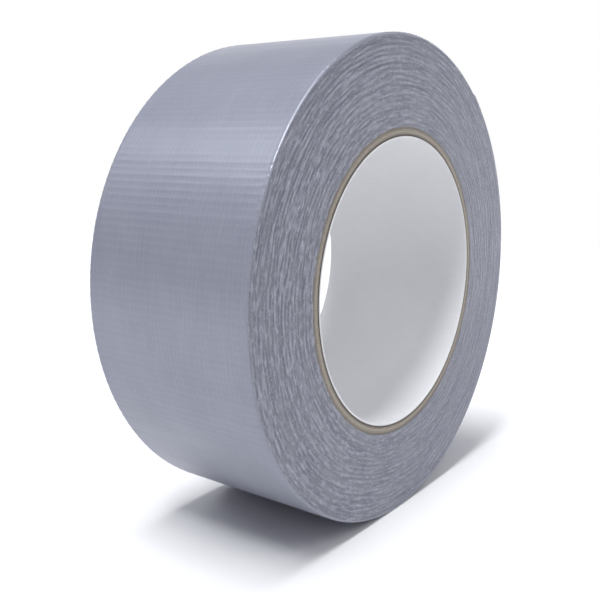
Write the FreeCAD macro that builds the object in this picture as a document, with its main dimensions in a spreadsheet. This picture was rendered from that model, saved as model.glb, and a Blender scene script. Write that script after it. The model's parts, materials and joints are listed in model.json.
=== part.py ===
import FreeCAD, Part
import math
import os
import Sketcher

# A roll of cloth-backed duct tape, standing on its rim.
#
# A spiral-wound paperboard core carries one long strip of tape.  The strip is a laminate: a
# polyethylene film outside, a woven cotton scrim in the middle and a rubber adhesive inside.  All but
# its last turn is one wound pack.  The last turn is modelled layer by layer, and the stretch before
# its free end is a tail of short pieces, each hinged to the one before, which lifts off the roll.
#
# Frame: millimetres, +Z up, the roll's axis along Y, the origin at the centre of the core's bore.
# Angles are measured about the roll's axis, from +X towards +Z.

PARTS_FOLDER = "parts"

# Driving dimensions: alias, value and what the value is.
DIMENSIONS = [
    ("bore_diameter", 76.2, "inside of the core, a three inch tube"),
    ("liner_thickness", 0.5, "white-faced paper ply inside the core"),
    ("ply_thickness", 0.46, "each kraft board ply of the core"),
    ("ply_count", 5, "kraft board plies in the core's wall"),
    ("tape_width", 50, "width of the tape and length of the core"),
    ("film_thickness", 0.06, "polyethylene film, outside"),
    ("scrim_thickness", 0.05, "woven cotton scrim"),
    ("glue_thickness", 0.06, "rubber adhesive, inside"),
    ("turn_count", 138, "turns of tape on the core"),
    ("tail_piece_count", 4, "hinged pieces in the tail"),
    ("tail_piece_angle", 10.7, "angle that each tail piece takes up on the roll"),
    ("tail_lift", 0.05, "gap between the tail and the turn below it"),
    ("tail_joint_gap", 0.05, "gap between the ends of neighbouring tail pieces"),
    ("free_end_angle", 52, "where the tape's free end lies on the roll"),
]

# One turn of the strip is two half circles about two centres, a quarter of the tape's thickness
# either side of the axis, so that the second half ends one thickness further out than the first began.
TAPE_THICKNESS = "(Sizes.film_thickness + Sizes.scrim_thickness + Sizes.glue_thickness)"
BOARD_THICKNESS = "(Sizes.liner_thickness + Sizes.ply_count * Sizes.ply_thickness)"
CORE_RADIUS = f"(Sizes.bore_diameter / 2 + {BOARD_THICKNESS})"
FIRST_HALF_RADIUS = f"({CORE_RADIUS} + (Sizes.turn_count - 0.75) * {TAPE_THICKNESS})"
SECOND_HALF_RADIUS = f"({CORE_RADIUS} + (Sizes.turn_count - 0.25) * {TAPE_THICKNESS})"
CENTRE_SHIFT = f"({TAPE_THICKNESS} / 4)"
TAIL_ANGLE = "(Sizes.tail_piece_count * Sizes.tail_piece_angle)"
TAIL_GAP_ANGLE = f"(Sizes.tail_joint_gap / {SECOND_HALF_RADIUS} * 180 / pi)"

# The layers of the tape: name, depth of the outer face and depth of the inner face.
LAYERS = [
    ("film", "0", "Sizes.film_thickness"),
    ("scrim", "Sizes.film_thickness", "(Sizes.film_thickness + Sizes.scrim_thickness)"),
    ("adhesive", "(Sizes.film_thickness + Sizes.scrim_thickness)", TAPE_THICKNESS),
]

HALF_TURN = 180
FULL_TURN = 360
X_AXIS = FreeCAD.Vector(1, 0, 0)
Y_AXIS = FreeCAD.Vector(0, 1, 0)
Z_AXIS = FreeCAD.Vector(0, 0, 1)
CENTRE = FreeCAD.Vector(0, 0, 0)

# How a sketch names its own axes and the points of its geometry.
ORIGIN_AND_X_AXIS = -1
START, END, MIDDLE = 1, 2, 3

doc = FreeCAD.newDocument("duct_tape_roll")
sheet = doc.addObject("Spreadsheet::Sheet", "Sizes")
for row, (alias, value, meaning) in enumerate(DIMENSIONS, start=1):
    sheet.set(f"A{row}", str(value))
    sheet.setAlias(f"A{row}", alias)
    sheet.set(f"B{row}", meaning)
doc.recompute()


def turned_to_free_end():
    """The placement that turns a strip drawn with its free end on +X to where the free end lies."""
    return FreeCAD.Placement(CENTRE, FreeCAD.Rotation(Y_AXIS, -sheet.free_end_angle))


def new_body(name):
    """A body and its sketch across the roll's axis, with the sketch's x on +X and its y on +Z."""
    body = doc.addObject("PartDesign::Body", name)
    sketch = body.newObject("Sketcher::SketchObject", f"{name}_section")
    planes = {feature.Role: feature for feature in body.Origin.OriginFeatures}
    sketch.AttachmentSupport = (planes["XZ_Plane"], [""])
    sketch.MapMode = "FlatFace"
    return body, sketch


def pad_to_width(body, sketch):
    """Pads a section to the tape's width, half to each side of the origin."""
    pad = body.newObject("PartDesign::Pad", f"{body.Name}_width")
    pad.Profile = sketch
    pad.SideType = "Symmetric"
    pad.setExpression("Length", "Sizes.tape_width")
    body.Tip = pad


def constrain(sketch, name, kind, *references, value, expression):
    """Adds a dimension to a sketch and ties it to an expression."""
    number = sketch.addConstraint(Sketcher.Constraint(kind, *references, value))
    sketch.renameConstraint(number, name)
    sketch.setExpression(f"Constraints.{name}", expression)


def add_circle(sketch, name, start_radius, radius):
    """A circle about the roll's axis."""
    circle = sketch.addGeometry(Part.Circle(CENTRE, Z_AXIS, start_radius), False)
    sketch.addConstraint(
        Sketcher.Constraint("Coincident", circle, MIDDLE, ORIGIN_AND_X_AXIS, START)
    )
    constrain(sketch, name, "Radius", circle, value=start_radius, expression=radius)


def add_half_circle(sketch, first_angle, start_radius, start_shift):
    """A half circle with its centre and both its ends on the sketch's x axis."""
    centre = FreeCAD.Vector(start_shift, 0, 0)
    circle = Part.Circle(centre, Z_AXIS, start_radius)
    last_angle = first_angle + math.pi
    arc = sketch.addGeometry(Part.ArcOfCircle(circle, first_angle, last_angle), False)
    for point in (MIDDLE, END):
        sketch.addConstraint(
            Sketcher.Constraint("PointOnObject", arc, point, ORIGIN_AND_X_AXIS)
        )
    return arc


def make_ply(name, inner_radius, outer_radius):
    """One ply of the core: a plain ring as long as the tape is wide."""
    body, sketch = new_body(name)
    bore_radius = sheet.bore_diameter / 2
    add_circle(sketch, "inner", bore_radius, inner_radius)
    add_circle(sketch, "outer", bore_radius + sheet.ply_thickness, outer_radius)
    pad_to_width(body, sketch)
    return body


def make_core():
    """The white paper liner and the kraft plies wound round it."""
    liner_outside = "(Sizes.bore_diameter / 2 + Sizes.liner_thickness)"
    plies = [make_ply("core_liner", "Sizes.bore_diameter / 2", liner_outside)]
    for number in range(int(sheet.ply_count)):
        inner = f"{liner_outside} + {number} * Sizes.ply_thickness"
        outer = f"{liner_outside} + {number + 1} * Sizes.ply_thickness"
        plies.append(make_ply(f"core_kraft_ply_{number + 1}", inner, outer))
    return plies


def make_wound_pack():
    """All the turns under the last one: round inside, and stepped outside where the last turn begins."""
    body, sketch = new_body("wound_tape_pack")
    thickness = sheet.film_thickness + sheet.scrim_thickness + sheet.glue_thickness
    board = sheet.liner_thickness + sheet.ply_count * sheet.ply_thickness
    inner = sheet.bore_diameter / 2 + board
    outer = inner + (sheet.turn_count - 2) * thickness
    shift = thickness / 4

    add_circle(sketch, "core", inner, CORE_RADIUS)
    first = add_half_circle(sketch, 0, outer + shift, -shift)
    second = add_half_circle(sketch, math.pi, outer + 3 * shift, shift)
    step = sketch.addGeometry(
        Part.LineSegment(
            FreeCAD.Vector(outer + thickness, 0, 0), FreeCAD.Vector(outer, 0, 0)
        ),
        False,
    )
    sketch.addConstraint(
        Sketcher.Constraint("PointOnObject", first, START, ORIGIN_AND_X_AXIS)
    )
    sketch.addConstraint(Sketcher.Constraint("Coincident", first, END, second, START))
    sketch.addConstraint(Sketcher.Constraint("Coincident", second, END, step, START))
    sketch.addConstraint(Sketcher.Constraint("Coincident", step, END, first, START))
    constrain(
        sketch,
        "first_radius",
        "Radius",
        first,
        value=outer + shift,
        expression=f"{FIRST_HALF_RADIUS} - {TAPE_THICKNESS}",
    )
    constrain(
        sketch,
        "first_shift",
        "DistanceX",
        *(first, MIDDLE, ORIGIN_AND_X_AXIS, START),
        value=shift,
        expression=CENTRE_SHIFT,
    )
    constrain(
        sketch,
        "second_shift",
        "DistanceX",
        *(ORIGIN_AND_X_AXIS, START, second, MIDDLE),
        value=shift,
        expression=CENTRE_SHIFT,
    )
    pad_to_width(body, sketch)
    body.Placement = turned_to_free_end()
    return body


def make_cylinder(name, radius, angle, start_angle, shift):
    """A slice of a cylinder as long as the tape is wide, turned to start at an angle."""
    cylinder = doc.addObject("Part::Cylinder", name)
    cylinder.setExpression("Radius", radius)
    cylinder.setExpression("Height", "Sizes.tape_width")
    cylinder.setExpression("Angle", angle)
    lying = FreeCAD.Rotation(X_AXIS, 90)
    started = FreeCAD.Rotation(Y_AXIS, -start_angle)
    cylinder.Placement.Rotation = started.multiply(lying)
    cylinder.setExpression("Placement.Base.x", shift)
    cylinder.setExpression("Placement.Base.y", "Sizes.tape_width / 2")
    return cylinder


def make_strip(name, outer_radius, inner_radius, angle, start_angle, shift):
    """A curved strip: the slice between two cylinders about one centre."""
    strip = doc.addObject("Part::Cut", name)
    strip.Base = make_cylinder(f"{name}_outside", outer_radius, angle, start_angle, shift)
    strip.Tool = make_cylinder(f"{name}_inside", inner_radius, str(FULL_TURN), 0, shift)
    return strip


def make_last_turn_layer(layer, outer_depth, inner_depth):
    """One layer of the last turn, from where it leaves the pack to where the tail begins."""
    name = f"last_turn_{layer}"
    first = make_strip(
        f"{name}_first_half",
        f"{FIRST_HALF_RADIUS} - {outer_depth}",
        f"{FIRST_HALF_RADIUS} - {inner_depth}",
        str(HALF_TURN),
        0,
        f"-{CENTRE_SHIFT}",
    )
    second = make_strip(
        f"{name}_second_half",
        f"{SECOND_HALF_RADIUS} - {outer_depth}",
        f"{SECOND_HALF_RADIUS} - {inner_depth}",
        f"{HALF_TURN} - {TAIL_ANGLE} - {TAIL_GAP_ANGLE}",
        HALF_TURN,
        CENTRE_SHIFT,
    )
    turn = doc.addObject("Part::Fuse", name)
    turn.Base = first
    turn.Tool = second
    turn.Refine = True
    turn.Placement = turned_to_free_end()
    return turn


def make_tail_layer(number, layer, outer_depth, inner_depth):
    """One layer of one tail piece, the last piece ending at the tape's free end."""
    pieces_to_end = sheet.tail_piece_count - number
    strip = make_strip(
        f"tail_{number + 1}_{layer}",
        f"{SECOND_HALF_RADIUS} + Sizes.tail_lift - {outer_depth}",
        f"{SECOND_HALF_RADIUS} + Sizes.tail_lift - {inner_depth}",
        f"Sizes.tail_piece_angle - {TAIL_GAP_ANGLE}",
        FULL_TURN - pieces_to_end * sheet.tail_piece_angle,
        CENTRE_SHIFT,
    )
    strip.Placement = turned_to_free_end()
    return strip


def make_tape():
    """The wound pack, the layers of the last turn and the tail's pieces."""
    parts = [make_wound_pack()]
    for layer, outer_depth, inner_depth in LAYERS:
        parts.append(make_last_turn_layer(layer, outer_depth, inner_depth))
    for number in range(int(sheet.tail_piece_count)):
        for layer, outer_depth, inner_depth in LAYERS:
            parts.append(make_tail_layer(number, layer, outer_depth, inner_depth))
    return parts


def check(parts):
    """Stops the script if any object failed or any sub-part isn't one sound solid."""
    for item in doc.Objects:
        if "Invalid" in item.State or "Error" in item.State:
            raise RuntimeError(f"{item.Name} failed: {item.State}")
    for part in parts:
        shape = part.Shape
        if shape.isNull() or not shape.isValid() or len(shape.Solids) != 1:
            raise RuntimeError(f"{part.Name} isn't one sound solid")


def write(parts):
    """Writes each sub-part to its own file, named by its label."""
    os.makedirs(PARTS_FOLDER, exist_ok=True)
    for part in parts:
        part.Label = part.Name
        part.Shape.exportStep(f"{PARTS_FOLDER}/{part.Label}.step")
        print(f"{part.Label}: {part.Shape.Volume:.1f} cubic millimetres")


all_parts = make_core() + make_tape()
doc.recompute()
check(all_parts)
write(all_parts)
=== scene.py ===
import json
import math

import bpy
import numpy as np
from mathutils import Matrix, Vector


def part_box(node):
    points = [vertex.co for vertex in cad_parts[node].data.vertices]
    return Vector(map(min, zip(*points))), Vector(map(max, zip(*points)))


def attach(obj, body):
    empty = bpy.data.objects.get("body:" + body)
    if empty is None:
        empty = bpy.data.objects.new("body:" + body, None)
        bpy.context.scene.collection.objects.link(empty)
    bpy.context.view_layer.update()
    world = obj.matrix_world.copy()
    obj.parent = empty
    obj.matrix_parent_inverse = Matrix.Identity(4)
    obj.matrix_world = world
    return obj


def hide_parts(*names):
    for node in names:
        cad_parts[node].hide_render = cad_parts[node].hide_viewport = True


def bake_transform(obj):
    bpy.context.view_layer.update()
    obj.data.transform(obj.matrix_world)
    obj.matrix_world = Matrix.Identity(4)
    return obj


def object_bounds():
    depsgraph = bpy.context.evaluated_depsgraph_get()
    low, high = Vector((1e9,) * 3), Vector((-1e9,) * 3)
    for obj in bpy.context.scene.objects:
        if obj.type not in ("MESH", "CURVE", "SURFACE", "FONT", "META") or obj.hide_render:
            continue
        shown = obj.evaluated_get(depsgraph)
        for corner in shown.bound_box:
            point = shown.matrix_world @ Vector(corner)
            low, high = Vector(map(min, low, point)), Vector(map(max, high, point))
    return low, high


# A roll of duct tape on a pale floor.  Everything is in metres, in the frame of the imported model:
# +Z up, the roll's axis along Y, the origin at the centre of the core's bore.
#
# A place on the tape is given by two numbers: back, the angle in radians from the free end back
# along the winding, and across, the distance from the middle of the tape's width.

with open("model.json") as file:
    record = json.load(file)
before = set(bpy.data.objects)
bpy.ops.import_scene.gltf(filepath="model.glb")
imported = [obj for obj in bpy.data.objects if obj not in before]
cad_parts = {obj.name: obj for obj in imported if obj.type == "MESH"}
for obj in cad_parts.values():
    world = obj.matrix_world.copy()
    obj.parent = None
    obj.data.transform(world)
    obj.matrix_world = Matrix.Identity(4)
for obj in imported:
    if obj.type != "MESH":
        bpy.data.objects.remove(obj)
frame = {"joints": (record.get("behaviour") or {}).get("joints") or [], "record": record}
cad_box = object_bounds()

MM = 0.001
TURN = 2 * math.pi

# ---- Sizes, read from the frame or set by it -------------------------------------------------

mounts = {mount["name"]: mount for mount in frame["record"]["mounts"]}

BORE_RADIUS = mounts["core_bore"]["dims"]["r_mm"] * MM
HALF_WIDTH = mounts["core_bore"]["dims"]["length_mm"] * MM / 2
LINER_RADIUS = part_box("core_liner")[1].x
CORE_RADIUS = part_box("core_kraft_ply_5")[1].x
FLOOR_HEIGHT = cad_box[0].z

TAPE_THICKNESS = 0.17 * MM
TURN_COUNT = 138
OUTER_RADIUS = CORE_RADIUS + TURN_COUNT * TAPE_THICKNESS

TAIL_HINGES = [Vector(joint["pos_m"]) for joint in frame["joints"]]
TAIL_BODIES = [joint["child"] for joint in frame["joints"]]
HINGE_ANGLES = [math.atan2(hinge.z, hinge.x) for hinge in TAIL_HINGES]
PIECE_ANGLE = HINGE_ANGLES[1] - HINGE_ANGLES[0]
FREE_END_ANGLE = HINGE_ANGLES[-1] + PIECE_ANGLE
HINGE_BACKS = [FREE_END_ANGLE - angle for angle in HINGE_ANGLES]
PEEL_BACK = HINGE_BACKS[0]

# ---- Sizes of the detail ---------------------------------------------------------------------

TAIL_LIFT = 0.05 * MM           # gap between the tail and the turn below it
LIFT_RUN = 0.05                 # the gap opens over this angle past the peel line, in radians
CORNER_CURL = 0.14 * MM         # how far the corners of the free end curl up
CURL_REACH = 9 * MM             # how far from the corners the curl starts
TEAR_DEPTH = 0.45 * MM          # how uneven the torn free end is
TEAR_REACH = 4 * MM             # how far back from the end the tape is drawn up for the tear
RIM_OVERLAP = 0.5 * MM          # the tail starts this far behind the peel line
# lengths measured from each hinge towards the free end, where the strip would bend;
# their ends are worked out for each piece but not used
PEEL_ZONE = (0, 3 * MM)
FLEX_ZONE = (-2 * MM, 2 * MM)
RIM_PIECES = 4                  # the rim is built in arcs, each a piece of its own
# the underside of the rim pieces, which take in the last few turns: in from the edge, and down
RIM_UNDERSIDE = ((0, 0.47 * MM), (0.35 * MM, 0.56 * MM), (2 * MM, 0.75 * MM))
RIM_STEP = 0.27 * MM            # spacing of the rim's mesh
CORNER_WIDTH = 0.80 * MM        # the soft corner between the rim and the side
CORNER_DROP = 0.40 * MM         # how far the surface falls away over that corner
SIDE_START = 2                  # turns whose edges the rim pieces' corners stand for
SIDE_TURNS = 135                # turns whose edges show on the side, inside those
SIDE_SEGMENTS = 360             # points along each of them
SIDE_INSET = 0.06 * MM          # the side's mean plane lies this far inside the CAD side
SIDE_DEPTH = 1.5 * MM           # thickness of the slab that carries them
SIDE_HEIGHT = 0.09 * MM         # how far the turns' edges vary about that plane
GROOVE_DEPTH = 0.03 * MM        # between the edges of neighbouring turns
GROOVE_SHADE = 0.8               # painted shade: how much darker the grooves are painted, on the scale of edge_heights
CORE_SEGMENTS = 360
PLY_BEVEL = 0.10 * MM           # rounding of the plies' edges
PLY_FUZZ = 0.025 * MM           # how rough the cut ends of the board are
# for each ply, from the innermost: how far its ends lie back from the side, and its brightness;
# the innermost, set back furthest, is painted dark as shade in its recess
PLY_RECESS = (0.25 * MM, 0.04 * MM, 0, 0.03 * MM, 0.08 * MM)
PLY_SHADE = (0.50, 0.90, 1.18, 0.95, 0.74)
LINER_SEGMENTS = 700            # fine enough for the seam to show
LINER_ROWS = 96
LINER_BEVEL = 0.12 * MM         # rounding of the lining's edges
LINER_WAVE = 0.02 * MM          # how far the lining paper is from round
SEAM_ANGLE = math.radians(190)  # where the lining's seam crosses the middle of the width
SEAM_PITCH = 110 * MM           # how far the seam moves along the bore in a turn
SEAM_WIDTH = 0.25 * MM
SEAM_DEPTH = 0.03 * MM

WARP_PITCH = 1.30 * MM          # spacing of the scrim's yarns that run along the tape
WEFT_PITCH = 1.8 * MM           # spacing of those that run across it
WEAVE_HEIGHT = 0.048 * MM       # how far the yarns show through the film
BAND_HEIGHT = 0.022 * MM        # faint bands across the tape, from its winding tension
NICK_HEIGHT = 0.055 * MM        # how uneven the tape's cut edges are
NICK_REACH = (0.3 * MM, 1.6 * MM)   # distances from the edge between which the nicks die away
EDGE_FADE = 1.5 * MM            # the yarns and bands die away over this width at the edges

# waves along the tape: the length of each in millimetres, its height and its phase
WINDING_BANDS = ((3.1, 0.2, 0.5), (4.7, 0.35, 2.0), (7.9, 0.6, 4.1), (23, 2.0, 1.0))
EDGE_NICKS = ((1.8, 0.4, 0.0), (1.07, 0.28, 1.3), (2.9, 0.32, 0.4))

# ---- The studio ------------------------------------------------------------------------------

AMBIENT = 0.29                  # strength of the light from all round
FLOOR_REACH = 0.6               # from the middle of the floor to its edges
CAMERA_PLACE = (-0.18925, -0.13251, 0.03744)
CAMERA_AZIMUTH = math.radians(-53.118)  # where it looks: 0 is along +Y, and -90 degrees is along +X
CAMERA_DIP = math.radians(11.019)       # how far down it looks
CAMERA_LENS = 49.12             # in millimetres
CAMERA_SENSOR = 36

rng = np.random.default_rng(20)


# ---- Meshes ----------------------------------------------------------------------------------

def add_mesh(name, points, faces, materials, uv=None, face_material=None, caps=()):
    """A mesh object from points and quads, with flat end caps, a UV and materials if given."""
    corners = points[faces]
    volume = np.einsum(
        "ij,ij->",
        corners[:, 0] - points.mean(0),
        np.cross(corners[:, 1] - corners[:, 0], corners[:, 2] - corners[:, 0])
        + np.cross(corners[:, 2] - corners[:, 0], corners[:, 3] - corners[:, 0]),
    )
    polygons = faces.tolist() + [list(cap) for cap in caps]
    # a negative volume means that the faces look inwards
    if volume < 0:
        polygons = [polygon[::-1] for polygon in polygons]
    mesh = bpy.data.meshes.new(name)
    mesh.from_pydata(points.tolist(), [], polygons)
    smooth = np.arange(len(polygons)) < len(faces)
    mesh.polygons.foreach_set("use_smooth", smooth)
    for material in materials:
        mesh.materials.append(material)
    if face_material is not None:
        index = np.concatenate([face_material, np.zeros(len(caps), int)])
        mesh.polygons.foreach_set("material_index", index.astype(np.int32))
    if uv is not None:
        loop_points = np.empty(len(mesh.loops), np.int32)
        mesh.loops.foreach_get("vertex_index", loop_points)
        layer = mesh.uv_layers.new(name="place")
        layer.data.foreach_set("uv", uv[loop_points].astype(np.float32).ravel())
    obj = bpy.data.objects.new(name, mesh)
    bpy.context.scene.collection.objects.link(obj)
    return obj


def grid_faces(rows, columns, closed_rows):
    """The quads of a grid of points whose columns close into a loop, and its rows if asked."""
    row, column = np.meshgrid(
        np.arange(rows if closed_rows else rows - 1), np.arange(columns), indexing="ij"
    )
    row, column = row.ravel(), column.ravel()
    next_row, next_column = (row + 1) % rows, (column + 1) % columns
    return np.stack(
        [
            row * columns + column,
            next_row * columns + column,
            next_row * columns + next_column,
            row * columns + next_column,
        ],
        axis=1,
    )


def sweep(name, points, materials, uv=None, column_material=None, closed=False):
    """A solid swept by a closed section: points has the shape (stations, section points, 3)."""
    stations, section = points.shape[:2]
    faces = grid_faces(stations, section, closed)
    face_material = None
    if column_material is not None:
        face_material = np.tile(column_material, len(faces) // section)
    flat_points = points.reshape(-1, 3)
    flat_uv = None if uv is None else uv.reshape(-1, 2)
    caps = []
    if not closed:
        # the caps have points of their own, so that the swept faces stay smooth up to them
        ends = np.r_[0:section, (stations - 1) * section:stations * section]
        first = len(flat_points)
        last = first + section
        caps = [range(first, last), range(last + section - 1, last - 1, -1)]
        flat_points = np.concatenate([flat_points, flat_points[ends]])
        flat_uv = np.concatenate([flat_uv, flat_uv[ends]])
    return add_mesh(name, flat_points, faces, materials, flat_uv, face_material, caps)


def round_axis(radius, angle, across):
    """Points at a radius and an angle round the roll's axis."""
    radius, angle, across = np.broadcast_arrays(radius, angle, across)
    return np.stack([radius * np.cos(angle), across, radius * np.sin(angle)], axis=-1)


def smoothstep(value, low, high):
    """0 below low and 1 above high, with a smooth rise between them."""
    share = np.clip((value - low) / (high - low), 0, 1)
    return share * share * (3 - 2 * share)


def winding_noise(stations, per_turn, knots, spread, ripple=math.inf):
    """Unit noise along a winding, a knot for each 1/knots of a turn, alike over spread turns.
    With a ripple, it comes and goes every so many turns."""
    turns = stations // per_turn + 2
    values = rng.normal(size=(turns + spread, knots))
    kernel = np.hanning(spread + 3)[1:-1]
    kernel *= np.cos(TURN * (np.arange(spread + 1) - spread / 2) / ripple)
    kernel /= math.sqrt((kernel ** 2).sum())
    values = np.array([np.convolve(column, kernel, "valid") for column in values.T]).T.ravel()
    place = np.arange(stations) / per_turn * knots
    before = place.astype(int)
    share = smoothstep(place - before, 0, 1)
    return (1 - share) * values[before] + share * values[before + 1]


# ---- Materials -------------------------------------------------------------------------------

def new_material(name, settings):
    """A Principled material with some of its sockets set."""
    material = bpy.data.materials.new(name)
    material.use_nodes = True
    shader = material.node_tree.nodes["Principled BSDF"]
    for socket, value in settings.items():
        shader.inputs[socket].default_value = value
    return material, shader


def add_node(material, kind, sockets, **properties):
    """A node with its properties set and its sockets set or linked."""
    node = material.node_tree.nodes.new(kind)
    for name, value in properties.items():
        setattr(node, name, value)
    for socket, value in sockets.items():
        if isinstance(value, bpy.types.NodeSocket):
            material.node_tree.links.new(value, node.inputs[socket])
        else:
            node.inputs[socket].default_value = value
    return node


def connect(material, source, shader, socket):
    """Lead an output into a socket of the shader."""
    material.node_tree.links.new(source, shader.inputs[socket])


def stretched(material, place, scale):
    """Coordinates scaled by a different amount in each direction."""
    node = add_node(material, "ShaderNodeMapping", {"Vector": place, "Scale": scale})
    return node.outputs["Vector"]


def noise(material, place, scale, detail=3.0):
    """A noise value from 0 to 1."""
    sockets = {"Vector": place, "Scale": scale, "Detail": detail, "Roughness": 0.6}
    return add_node(material, "ShaderNodeTexNoise", sockets).outputs["Fac"]


def spread_to(material, value, low, high, start=0.3, stop=0.7):
    """A value that runs from start to stop, brought to run from low to high."""
    sockets = {
        "Value": value,
        "From Min": start,
        "From Max": stop,
        "To Min": low,
        "To Max": high,
    }
    return add_node(material, "ShaderNodeMapRange", sockets).outputs["Result"]


def mix_colours(material, share, first, second):
    """The first colour where share is 0 and the second where it is 1."""
    # a Mix node's sockets for colours are 6 and 7, and its output for them is 2
    sockets = {0: share, 6: first, 7: second}
    return add_node(material, "ShaderNodeMix", sockets, data_type="RGBA").outputs[2]


def bump(material, shader, height, strength, distance):
    """Fine relief that the mesh doesn't have."""
    sockets = {"Height": height, "Strength": strength, "Distance": distance}
    node = add_node(material, "ShaderNodeBump", sockets)
    connect(material, node.outputs["Normal"], shader, "Normal")


def strip_place(material):
    """A place on the tape in millimetres, along it and across it, which bends with the tape."""
    return add_node(material, "ShaderNodeUVMap", {}, uv_map="place").outputs["UV"]


def ring_place(material, around, outward):
    """A place on the side of the roll, with no seam: a turn is 2 pi around long."""
    place = add_node(material, "ShaderNodeTexCoord", {}).outputs["Object"]
    flat = add_node(
        material, "ShaderNodeVectorMath", {0: place, 1: (1, 0, 1)}, operation="MULTIPLY"
    ).outputs["Vector"]
    radius = add_node(
        material, "ShaderNodeVectorMath", {0: flat}, operation="LENGTH"
    ).outputs["Value"]
    direction = add_node(
        material, "ShaderNodeVectorMath", {0: flat}, operation="NORMALIZE"
    ).outputs["Vector"]
    circle = add_node(
        material, "ShaderNodeVectorMath", {0: direction, "Scale": around}, operation="SCALE"
    ).outputs["Vector"]
    height = add_node(
        material, "ShaderNodeMath", {0: radius, 1: outward}, operation="MULTIPLY"
    ).outputs["Value"]
    column = add_node(material, "ShaderNodeCombineXYZ", {"Y": height}).outputs["Vector"]
    return add_node(
        material, "ShaderNodeVectorMath", {0: circle, 1: column}, operation="ADD"
    ).outputs["Vector"]


def scrim_pattern(material, place):
    """1 along the scrim's yarns and 0 between them, in step with the relief of the film."""
    wave = {"Scale": 1.0, "Distortion": 0.15, "Detail": 1.0, "Phase Offset": math.pi}
    yarns = []
    for direction, pitch in (("Y", WARP_PITCH), ("X", WEFT_PITCH)):
        # a wave texture turns through 20 radians in each unit of its coordinates
        scale = TURN / 20 * MM / pitch
        fitted = stretched(material, place, (scale, scale, scale))
        node = add_node(
            material, "ShaderNodeTexWave", {"Vector": fitted, **wave}, bands_direction=direction
        )
        yarns.append(node.outputs["Fac"])
    return add_node(
        material, "ShaderNodeMath", {0: yarns[0], 1: yarns[1]}, operation="MAXIMUM"
    ).outputs["Value"]


def film_material():
    """The tape's silver-grey polythene backing."""
    material, shader = new_material("tape_film", {"Metallic": 0.25, "IOR": 1.42})
    place = strip_place(material)
    cloud = noise(material, stretched(material, place, (0.05, 0.09, 1)), 1.0, 4.0)
    bands = noise(material, stretched(material, place, (0.30, 0.012, 1)), 1.0, 2.0)
    grain = noise(material, place, 2.6, 2.0)
    scuffs = noise(material, stretched(material, place, (0.12, 1.3, 1)), 1.0, 5.0)

    base = mix_colours(
        material,
        spread_to(material, cloud, 0.0, 1.0),
        (0.243, 0.253, 0.309, 1),
        (0.283, 0.293, 0.352, 1),
    )
    base = mix_colours(
        material, spread_to(material, bands, 0.0, 0.35), base, (0.227, 0.237, 0.291, 1)
    )
    base = mix_colours(
        material, spread_to(material, grain, 0.0, 0.16), base, (0.41, 0.42, 0.48, 1)
    )
    shows = add_node(
        material,
        "ShaderNodeMath",
        {0: scrim_pattern(material, place), 1: spread_to(material, scuffs, 0.0, 0.32)},
        operation="MULTIPLY",
    ).outputs["Value"]
    base = mix_colours(material, shows, base, (0.385, 0.395, 0.455, 1))
    connect(material, base, shader, "Base Color")
    connect(material, spread_to(material, scuffs, 0.30, 0.41), shader, "Roughness")
    bump(material, shader, noise(material, place, 2.4, 3.0), 0.60, 0.02 * MM)
    return material


def adhesive_material():
    """The sticky underside of the tail: pale grey rubber with the scrim's yarns showing."""
    material, shader = new_material("tape_adhesive", {"IOR": 1.5})
    place = strip_place(material)
    yarns = scrim_pattern(material, place)
    base = mix_colours(
        material,
        spread_to(material, yarns, 0.0, 1.0, 0.75, 1.0),
        (0.44, 0.45, 0.47, 1),
        (0.62, 0.62, 0.62, 1),
    )
    blotches = noise(material, place, 0.5, 5.0)
    base = mix_colours(
        material, spread_to(material, blotches, 0.0, 0.3), base, (0.33, 0.335, 0.35, 1)
    )
    connect(material, base, shader, "Base Color")
    connect(material, spread_to(material, blotches, 0.22, 0.40), shader, "Roughness")
    bump(material, shader, yarns, 0.4, 0.03 * MM)
    return material


def side_material():
    """The edges of the wound turns: film, scrim ends and adhesive, in fine streaks, with painted
    light on the edges that stand out and painted shade on those that lie back and in the grooves.
    """
    material, shader = new_material("tape_edges", {"IOR": 1.45})
    height_and_shade = add_node(
        material, "ShaderNodeAttribute", {}, attribute_name="height_and_shade"
    ).outputs["Fac"]
    streaks = noise(material, ring_place(material, 26, 1100), 1.0, 3.0)
    specks = noise(material, ring_place(material, 75, 3400), 1.0, 2.0)
    groups = noise(material, ring_place(material, 4, 520), 1.0, 3.0)

    # painted light and shade: lighter where the edges stand out, darker where they lie back and in
    # the grooves
    base = mix_colours(
        material,
        spread_to(material, height_and_shade, 0.0, 1.0, -1.0, 1.0),
        (0.132, 0.139, 0.180, 1),
        (0.335, 0.347, 0.417, 1),
    )
    base = mix_colours(
        material, spread_to(material, streaks, 0.0, 0.75), base, (0.180, 0.189, 0.229, 1)
    )
    base = mix_colours(
        material, spread_to(material, specks, 0.0, 0.4, 0.55, 0.72), base, (0.62, 0.63, 0.68, 1)
    )
    base = mix_colours(
        material, spread_to(material, groups, 0.0, 0.3), base, (0.390, 0.397, 0.436, 1)
    )
    connect(material, base, shader, "Base Color")
    connect(material, spread_to(material, streaks, 0.50, 0.70), shader, "Roughness")
    bump(material, shader, specks, 0.5, 0.04 * MM)
    return material


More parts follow.
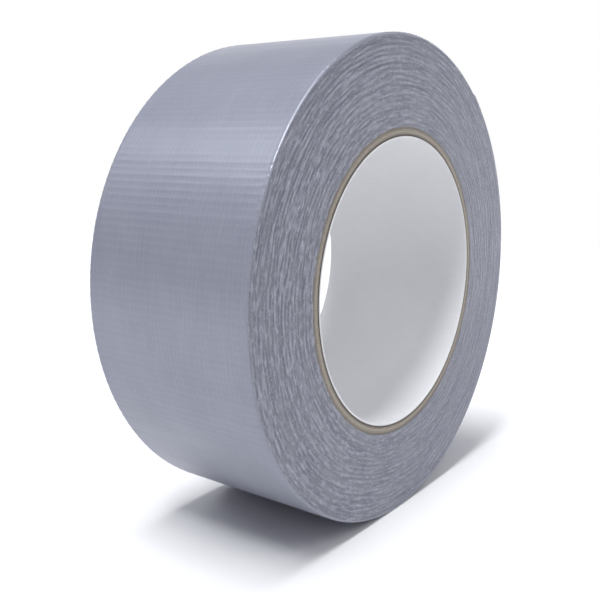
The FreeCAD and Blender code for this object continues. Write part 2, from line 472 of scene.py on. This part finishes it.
def kraft_material(name, shade):
    """Brown paperboard, cut across at the ends of the core."""
    material, shader = new_material(name, {"IOR": 1.4})
    fibres = noise(material, ring_place(material, 60, 5200), 1.0, 4.0)
    blotches = noise(material, ring_place(material, 9, 700), 1.0, 3.0)
    base = mix_colours(
        material,
        spread_to(material, fibres, 0.0, 1.0),
        (0.240 * shade, 0.205 * shade, 0.164 * shade, 1),
        (0.400 * shade, 0.358 * shade, 0.300 * shade, 1),
    )
    base = mix_colours(
        material,
        spread_to(material, blotches, 0.0, 0.5),
        base,
        (0.330 * shade, 0.304 * shade, 0.264 * shade, 1),
    )
    connect(material, base, shader, "Base Color")
    connect(material, spread_to(material, fibres, 0.80, 0.95), shader, "Roughness")
    bump(material, shader, fibres, 0.6, 0.05 * MM)
    return material


def liner_material():
    """Smooth white paper, with the faint seam of its winding and a few pale fibres."""
    material, shader = new_material("liner_paper", {"IOR": 1.45})
    place = add_node(material, "ShaderNodeTexCoord", {}).outputs["Object"]
    fibres = noise(material, stretched(material, place, (900, 260, 900)), 1.0, 5.0)
    clouds = noise(material, place, 45.0, 3.0)
    seam = add_node(
        material, "ShaderNodeAttribute", {}, attribute_name="seam"
    ).outputs["Fac"]
    base = mix_colours(
        material,
        spread_to(material, clouds, 0.0, 1.0),
        (0.700, 0.700, 0.711, 1),
        (0.735, 0.735, 0.745, 1),
    )
    base = mix_colours(
        material, spread_to(material, fibres, 0.0, 0.30), base, (0.665, 0.662, 0.655, 1)
    )
    base = mix_colours(
        material, spread_to(material, seam, 0.0, 0.35, 0.0, 1.0), base, (0.52, 0.51, 0.49, 1)
    )
    connect(material, base, shader, "Base Color")
    connect(material, spread_to(material, fibres, 0.50, 0.62), shader, "Roughness")
    bump(material, shader, fibres, 0.25, 0.02 * MM)
    return material


def floor_material():
    """Plain pale card."""
    material, shader = new_material("pale_floor", {"Roughness": 0.85})
    place = add_node(material, "ShaderNodeTexCoord", {}).outputs["Object"]
    tone = noise(material, place, 3.0, 2.0)
    base = mix_colours(
        material,
        spread_to(material, tone, 0.0, 1.0),
        (0.785, 0.785, 0.790, 1),
        (0.800, 0.800, 0.805, 1),
    )
    connect(material, base, shader, "Base Color")
    return material


# ---- The tape --------------------------------------------------------------------------------

def winding_radius(back):
    """The radius of the tape's outer face."""
    return OUTER_RADIUS - TAPE_THICKNESS * back / TURN


def sum_of_waves(along, parts):
    """A sum of waves, each given by its length in millimetres, its height and its phase."""
    return sum(
        height * np.sin(TURN * along / (length * MM) + phase) for length, height, phase in parts
    )


def relief(along, across):
    """How far the film stands up where yarns and winding bands show through it."""
    warp = 0.5 + 0.5 * np.cos(TURN * across / WARP_PITCH)
    weft = 0.5 + 0.5 * np.cos(TURN * along / WEFT_PITCH)
    patch = 0.65 + 0.35 * np.sin(along / (11 * MM) + 2 * np.sin(across / (8 * MM)))
    yarns = np.maximum(0.6 * warp ** 2, weft ** 2) * patch
    return WEAVE_HEIGHT * yarns + BAND_HEIGHT * sum_of_waves(along, WINDING_BANDS)


def nicks(along):
    """The unevenness of the tape's edges, between -1 and 1, from the yarns cut through there."""
    return sum_of_waves(along, EDGE_NICKS)


def tape_columns():
    """Places across the tape, and how far its surface drops there towards the soft corners."""
    flat_half = HALF_WIDTH - CORNER_WIDTH
    flat = np.linspace(-flat_half, flat_half, round(2 * flat_half / RIM_STEP))
    # the corner is part of an ellipse
    bend = np.radians(np.linspace(12, 74, 6))
    corner = flat_half + CORNER_WIDTH * np.sin(bend)
    across = np.concatenate([-corner[::-1], flat, corner])
    drop = CORNER_DROP * (1 - np.cos(bend))
    return across, np.concatenate([drop[::-1], np.zeros(len(flat)), drop])


def strip_surface(back, across, drop):
    """Radii and millimetre places of the film's surface, a row for each angle back."""
    along = OUTER_RADIUS * back[:, None] + 0 * across
    side = across + 0 * back[:, None]
    from_edge = HALF_WIDTH - np.abs(side)
    inside = smoothstep(from_edge, 0, EDGE_FADE)
    at_edge = 1 - smoothstep(from_edge, *NICK_REACH)
    radius = winding_radius(back)[:, None] - drop + relief(along, side) * inside
    radius += NICK_HEIGHT * nicks(along) * at_edge
    return radius, np.stack([along, side], axis=-1) / MM


def add_rim(film):
    """The last few turns of the roll, with the tape's outer face in relief."""
    across, drop = tape_columns()
    inset, depth = np.array(RIM_UNDERSIDE).T
    under = np.concatenate([across[-1] - inset, inset[::-1] - across[-1]])
    depth = np.concatenate([depth, depth[::-1]])
    start = PEEL_BACK + RIM_OVERLAP / OUTER_RADIUS
    span = TURN / RIM_PIECES
    stations = round(span * OUTER_RADIUS / RIM_STEP)
    for number in range(RIM_PIECES):
        back = start + span * (number + np.linspace(0, 1, stations))
        radius, uv = strip_surface(back, across, drop)
        inner = winding_radius(back)[:, None] - depth
        inner_uv = np.stack(
            [uv[:, :1, 0] + 0 * under, (under + 0 * inner) / MM], axis=-1
        )
        radius = np.concatenate([radius, inner], axis=1)
        section = np.concatenate([across, under])
        points = round_axis(radius, FREE_END_ANGLE - back[:, None], section)
        rim = sweep(
            f"tape_rim_{number + 1}", points, [film], np.concatenate([uv, inner_uv], axis=1)
        )
        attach(rim, "roll")
        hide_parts("last_turn_film", "last_turn_scrim", "last_turn_adhesive")


def tail_lift(back, across):
    """How far the tail stands off the turn below: a hair, and more at its curling corners."""
    near_end = 1 - smoothstep(back * OUTER_RADIUS, 0, CURL_REACH)
    near_side = smoothstep(np.abs(across), HALF_WIDTH - CURL_REACH, HALF_WIDTH)
    lift = TAIL_LIFT * (1 - smoothstep(back, PEEL_BACK - LIFT_RUN, PEEL_BACK))
    return lift + CORNER_CURL * near_end * near_side


def torn_edge(across):
    """How much tape is missing at the torn free end."""
    teeth = np.abs(np.sin(across / WARP_PITCH * math.pi + 2 * np.sin(across / (5 * MM))))
    slow = 0.5 + 0.5 * np.sin(across / (7 * MM) + 1)
    return TEAR_DEPTH * (0.45 * teeth + 0.55 * slow)


def add_tail_piece(name, start, stop, film, adhesive):
    """A length of the free tail, film outside and adhesive inside."""
    across, drop = tape_columns()
    stations = round((start - stop) * OUTER_RADIUS / RIM_STEP)
    back = np.linspace(start, stop, stations)
    radius, uv = strip_surface(back, across, drop)
    along = back[:, None] * OUTER_RADIUS
    near_end = 1 - smoothstep(along, 0, TEAR_REACH)
    turned = back[:, None] + near_end * torn_edge(across) / OUTER_RADIUS
    outer = radius + tail_lift(back[:, None], across + 0 * along)
    inner = outer - TAPE_THICKNESS
    points = round_axis(
        np.concatenate([outer, inner[:, ::-1]], axis=1),
        FREE_END_ANGLE - np.concatenate([turned, turned[:, ::-1]], axis=1),
        np.concatenate([across, across[::-1]]),
    )
    uv = np.concatenate([uv, uv[:, ::-1]], axis=1)
    column_material = np.repeat([0, 1], len(across))
    column_material[-1] = 0
    piece = sweep(name, points, [film, adhesive], uv, column_material)
    return piece


def tail_nodes(body):
    """The frame's nodes of one hinged length of the tail."""
    return [f"{body}_{layer}" for layer in ("film", "scrim", "adhesive")]


def along_tail(hinge_number, distance):
    """A point on the tail, a distance past a hinge towards the free end."""
    angle = HINGE_ANGLES[hinge_number] + distance / OUTER_RADIUS
    return (OUTER_RADIUS * math.cos(angle), 0, OUTER_RADIUS * math.sin(angle))


def add_tail(film, adhesive):
    """The loose end: a piece for each hinged length, and the torn end."""
    ends = [PEEL_BACK + RIM_OVERLAP / OUTER_RADIUS]
    ends += [back - PIECE_ANGLE / 2 for back in HINGE_BACKS]
    for number, body in enumerate(TAIL_BODIES):
        name = f"tape_tail_bend_{number + 1}"
        piece = add_tail_piece(name, ends[number], ends[number + 1], film, adhesive)
        zone = PEEL_ZONE if number == 0 else FLEX_ZONE
        start, end = (along_tail(number, distance) for distance in zone)
        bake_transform(piece)
        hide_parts(*tail_nodes(body))
    end = add_tail_piece("tape_tail_end", ends[-1], 0, film, adhesive)
    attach(end, TAIL_BODIES[-1])
    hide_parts(*tail_nodes(TAIL_BODIES[-1]))


def edge_heights(back):
    """How far each place on the edge of the winding stands out from the side, mostly from -1 to 1;
    the side's painted light and shade follow it.  The edges lie in long fine lines, broken up
    where the winding is ragged, at the roll's left."""
    stations = len(back)
    lines = (
        0.30 * winding_noise(stations, SIDE_SEGMENTS, knots=150, spread=1)
        + 0.65 * winding_noise(stations, SIDE_SEGMENTS, knots=80, spread=14, ripple=8)
        + 0.30 * winding_noise(stations, SIDE_SEGMENTS, knots=14, spread=20, ripple=9)
        + 0.20 * winding_noise(stations, SIDE_SEGMENTS, knots=7, spread=14)
    )
    mottles = winding_noise(stations, SIDE_SEGMENTS, knots=300, spread=6)
    ragged = 0.5 - 0.5 * np.cos(FREE_END_ANGLE - back)
    return (0.75 + 0.20 * ragged) * lines + (0.15 + 0.85 * ragged ** 2) * mottles


def add_side(name, facing, material):
    """The edges of the turns on one side of the roll, as a thin slab along the true winding."""
    stations = SIDE_TURNS * SIDE_SEGMENTS + 1
    back = PEEL_BACK + SIDE_START * TURN + np.arange(stations) * TURN / SIDE_SEGMENTS
    height_and_shade = edge_heights(back)
    crest = HALF_WIDTH - SIDE_INSET + SIDE_HEIGHT * np.tanh(height_and_shade)
    groove = crest - GROOVE_DEPTH
    middle = winding_radius(back) - TAPE_THICKNESS / 2
    radius = np.stack([middle, middle - TAPE_THICKNESS / 2], axis=1)
    across = facing * np.stack([crest, groove], axis=1)
    shown = round_axis(radius, FREE_END_ANGLE - back[:, None], across).reshape(-1, 3)

    crests = 2 * np.arange(stations)
    grooves = crests + 1
    here, there = np.arange(stations - 1), np.arange(stations - 1 - SIDE_SEGMENTS)
    bands = [
        # from a turn's crest to the groove inside it
        np.stack([crests[here], grooves[here], grooves[here + 1], crests[here + 1]], axis=1),
        # from that groove to the crest of the next turn in
        np.stack(
            [
                grooves[there],
                crests[there + SIDE_SEGMENTS],
                crests[there + SIDE_SEGMENTS + 1],
                grooves[there + 1],
            ],
            axis=1,
        ),
    ]

    # the slab's outer wall, its inner wall and its flat underside
    outer = np.append(crests[: SIDE_SEGMENTS + 1], grooves[0])
    inner = np.append(grooves[-SIDE_SEGMENTS - 1:], crests[-1])
    loops = shown[np.concatenate([outer, inner])].copy()
    loops[:, 1] = facing * (HALF_WIDTH - SIDE_DEPTH)
    outer_under = len(shown) + np.arange(len(outer))
    inner_under = outer_under + len(outer)
    for first, second in ((outer_under, outer), (inner, inner_under), (inner_under, outer_under)):
        bands.append(
            np.stack([first, second, np.roll(second, -1), np.roll(first, -1)], axis=1)
        )
    points = np.concatenate([shown, loops])
    side = add_mesh(name, points, np.concatenate(bands), [material])
    # painted light and shade for the material: each edge's height, and a darker value in the groove
    # inside it
    tone = side.data.attributes.new("height_and_shade", "FLOAT", "POINT")
    values = np.stack([height_and_shade, height_and_shade - GROOVE_SHADE], axis=1).ravel()
    tone.data.foreach_set("value", np.append(values, np.zeros(len(loops))).astype(np.float32))
    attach(side, "roll")
    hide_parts("wound_tape_pack")


# ---- The core --------------------------------------------------------------------------------

def ring_noise(segments, rows, knots):
    """Unit noise round a closed ring, a row of it for each point of its section."""
    values = rng.normal(size=(knots, rows))
    place = np.arange(segments) / segments * knots
    before = place.astype(int)
    share = smoothstep(place - before, 0, 1)[:, None]
    return (1 - share) * values[before] + share * values[(before + 1) % knots]


def ring_section(inner, outer, bevel, wall_rows):
    """A ring's section: its inner wall, one end from inside to outside, then the other end."""
    turn = np.radians(np.linspace(0, 90, 3))
    round_in = bevel * (1 - np.cos(turn))
    round_up = bevel * (1 - np.sin(turn))
    middle = np.linspace(inner + bevel, outer - bevel, 4)[1:-1]
    end_radius = np.concatenate([inner + round_in, middle, outer - round_in[::-1]])
    end_across = HALF_WIDTH - np.concatenate([round_up, 0 * middle, round_up[::-1]])
    wall = np.linspace(-end_across[0], end_across[0], wall_rows + 2)[1:-1]
    radius = np.concatenate([0 * wall + inner, end_radius, end_radius[::-1]])
    across = np.concatenate([wall, end_across, -end_across[::-1]])
    return radius, across


def add_plies():
    """The core's layers of board, with a fine groove where one meets the next.  The innermost,
    set back furthest, is painted dark as shade in its recess, and the outermost is darker than the
    middle ones."""
    angle = np.arange(CORE_SEGMENTS) / CORE_SEGMENTS * TURN
    inner = LINER_RADIUS
    for number, (shade, least) in enumerate(zip(PLY_SHADE, PLY_RECESS), start=1):
        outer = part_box(f"core_kraft_ply_{number}")[1].x
        radius, across = ring_section(inner, outer, PLY_BEVEL, wall_rows=2)
        fuzz = ring_noise(CORE_SEGMENTS, len(radius), knots=170)
        fuzz += ring_noise(CORE_SEGMENTS, 1, knots=24)
        at_end = np.abs(across) > HALF_WIDTH - PLY_BEVEL / 2
        recess = least + PLY_FUZZ * (1 + np.abs(fuzz))
        across = across - np.sign(across) * at_end * recess
        ply = sweep(
            f"core_ply_{number}",
            round_axis(radius, angle[:, None], across),
            [kraft_material(f"kraft_board_{number}", shade)],
            closed=True,
        )
        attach(ply, "roll")
        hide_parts(f"core_kraft_ply_{number}")
        inner = outer


def add_liner(paper):
    """The white paper that lines the bore, wound on a slant, so that it has one helical seam."""
    angle = np.arange(LINER_SEGMENTS)[:, None] / LINER_SEGMENTS * TURN
    radius, across = ring_section(BORE_RADIUS, LINER_RADIUS, LINER_BEVEL, wall_rows=LINER_ROWS)
    on_wall = radius < BORE_RADIUS + LINER_BEVEL / 2
    helix = across - (angle - SEAM_ANGLE) / TURN * SEAM_PITCH
    distance = (helix + SEAM_PITCH / 2) % SEAM_PITCH - SEAM_PITCH / 2
    seam = np.exp(-((distance / SEAM_WIDTH) ** 2)) * on_wall
    waves = LINER_WAVE * np.sin(3 * angle + across / (14 * MM)) * on_wall
    points = round_axis(radius + SEAM_DEPTH * seam + waves, angle, across)

    liner = sweep("core_lining", points, [paper], closed=True)
    mark = liner.data.attributes.new("seam", "FLOAT", "POINT")
    mark.data.foreach_set("value", seam.astype(np.float32).ravel())
    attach(liner, "roll")
    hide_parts("core_liner")


# ---- Floor, light and camera -----------------------------------------------------------------

def add_floor():
    """A square of card under the roll."""
    corners = [
        (x * FLOOR_REACH, y * FLOOR_REACH, FLOOR_HEIGHT)
        for x, y in ((-1, -1), (1, -1), (1, 1), (-1, 1))
    ]
    mesh = bpy.data.meshes.new("floor")
    mesh.from_pydata(corners, [], [(0, 1, 2, 3)])
    mesh.materials.append(floor_material())
    floor = bpy.data.objects.new("floor", mesh)
    bpy.context.scene.collection.objects.link(floor)


def add_sun(name, towards, strength, spread_degrees, colour, diffuse=True, glossy=True):
    """A broad soft light, in the direction towards from the roll.  One that isn't glossy makes
    no highlight on the roll, and one that isn't diffuse makes nothing else."""
    light = bpy.data.lights.new(name, "SUN")
    light.energy = strength
    light.angle = math.radians(spread_degrees)
    light.color = colour
    obj = bpy.data.objects.new(name, light)
    obj.rotation_mode = "QUATERNION"
    obj.rotation_quaternion = Vector(towards).to_track_quat("Z", "Y")
    obj.visible_diffuse = diffuse
    obj.visible_glossy = glossy
    bpy.context.scene.collection.objects.link(obj)


def add_softbox(name, place, size, power):
    """A large flat light at a place, facing the roll."""
    light = bpy.data.lights.new(name, "AREA")
    light.energy = power
    light.shape = "RECTANGLE"
    light.size, light.size_y = size
    obj = bpy.data.objects.new(name, light)
    obj.location = place
    obj.rotation_mode = "QUATERNION"
    obj.rotation_quaternion = Vector(place).to_track_quat("Z", "Y")
    obj.visible_camera = False
    bpy.context.scene.collection.objects.link(obj)


def add_lights():
    """A row of soft lights from overhead to well over to the left, so that the shadow fades
    outwards, with weak ones from the other sides and two glows beside the roll.  The highlight
    on the rim is left_light's, and corner_glint draws the bright line along its front corner."""
    overhead = (0.97, 0.985, 1.0)
    sky = (0.92, 0.96, 1.0)
    add_sun("top_light", (-0.05, 0.0, 1.0), 0.92, 18, overhead)
    add_sun("tilted_light", (-0.24, -0.01, 1.0), 0.70, 16, overhead, glossy=False)
    add_sun("side_light", (-0.39, -0.03, 1.0), 0.65, 14, overhead, glossy=False)
    add_sun("key_light", (-0.54, -0.08, 1.0), 0.84, 10, overhead, glossy=False)
    add_sun("front_light", (-0.30, -0.62, 1.0), 0.42, 26, (1.0, 1.0, 1.0))
    add_sun("corner_glint", (-0.44, -0.24, 0.87), 2.20, 10, overhead, diffuse=False)
    add_sun("left_light", (-0.36, 0.55, 0.69), 0.44, 22, sky)
    add_sun("right_light", (0.88, -0.45, 0.12), 0.38, 40, (0.96, 0.97, 1.0))
    add_sun("rear_light", (0.12, 0.45, 0.90), 0.16, 36, sky)
    add_softbox("rear_glow", (1.3, 1.0, 0.35), (2.4, 1.2), 8.0)
    add_softbox("side_glow", (0.30, -0.24, -0.01), (0.22, 0.10), 0.24)


def add_surroundings():
    """A white studio: bright where it is seen, and dimmer as a light, so that shadows show."""
    world = bpy.data.worlds.new("studio")
    bpy.context.scene.world = world
    world.use_nodes = True
    nodes, links = world.node_tree.nodes, world.node_tree.links
    nodes.clear()
    seen = nodes.new("ShaderNodeBackground")
    seen.inputs["Color"].default_value = (1, 1, 1, 1)
    seen.inputs["Strength"].default_value = 1.0
    light = nodes.new("ShaderNodeBackground")
    light.inputs["Color"].default_value = (0.88, 0.88, 1.0, 1)
    light.inputs["Strength"].default_value = AMBIENT
    mix = nodes.new("ShaderNodeMixShader")
    output = nodes.new("ShaderNodeOutputWorld")
    links.new(nodes.new("ShaderNodeLightPath").outputs["Is Camera Ray"], mix.inputs[0])
    links.new(light.outputs[0], mix.inputs[1])
    links.new(seen.outputs[0], mix.inputs[2])
    links.new(mix.outputs[0], output.inputs["Surface"])


def add_camera():
    """The roll from its front and left, a little from above."""
    camera = bpy.data.cameras.new("camera")
    camera.lens = CAMERA_LENS
    camera.sensor_width = CAMERA_SENSOR
    camera.clip_start = 0.01
    camera.clip_end = 50
    obj = bpy.data.objects.new("camera", camera)
    look = Vector(
        (
            -math.sin(CAMERA_AZIMUTH) * math.cos(CAMERA_DIP),
            math.cos(CAMERA_AZIMUTH) * math.cos(CAMERA_DIP),
            -math.sin(CAMERA_DIP),
        )
    )
    obj.location = CAMERA_PLACE
    obj.rotation_mode = "QUATERNION"
    obj.rotation_quaternion = look.to_track_quat("-Z", "Y")
    bpy.context.scene.collection.objects.link(obj)
    bpy.context.scene.camera = obj


# ---- The scene -------------------------------------------------------------------------------

film = film_material()
adhesive = adhesive_material()
edges = side_material()

add_rim(film)
add_tail(film, adhesive)
add_side("tape_side_front", -1, edges)
add_side("tape_side_back", 1, edges)
add_plies()
add_liner(liner_material())

add_floor()
add_lights()
add_surroundings()
add_camera()
bpy.context.scene.view_settings.view_transform = "Standard"
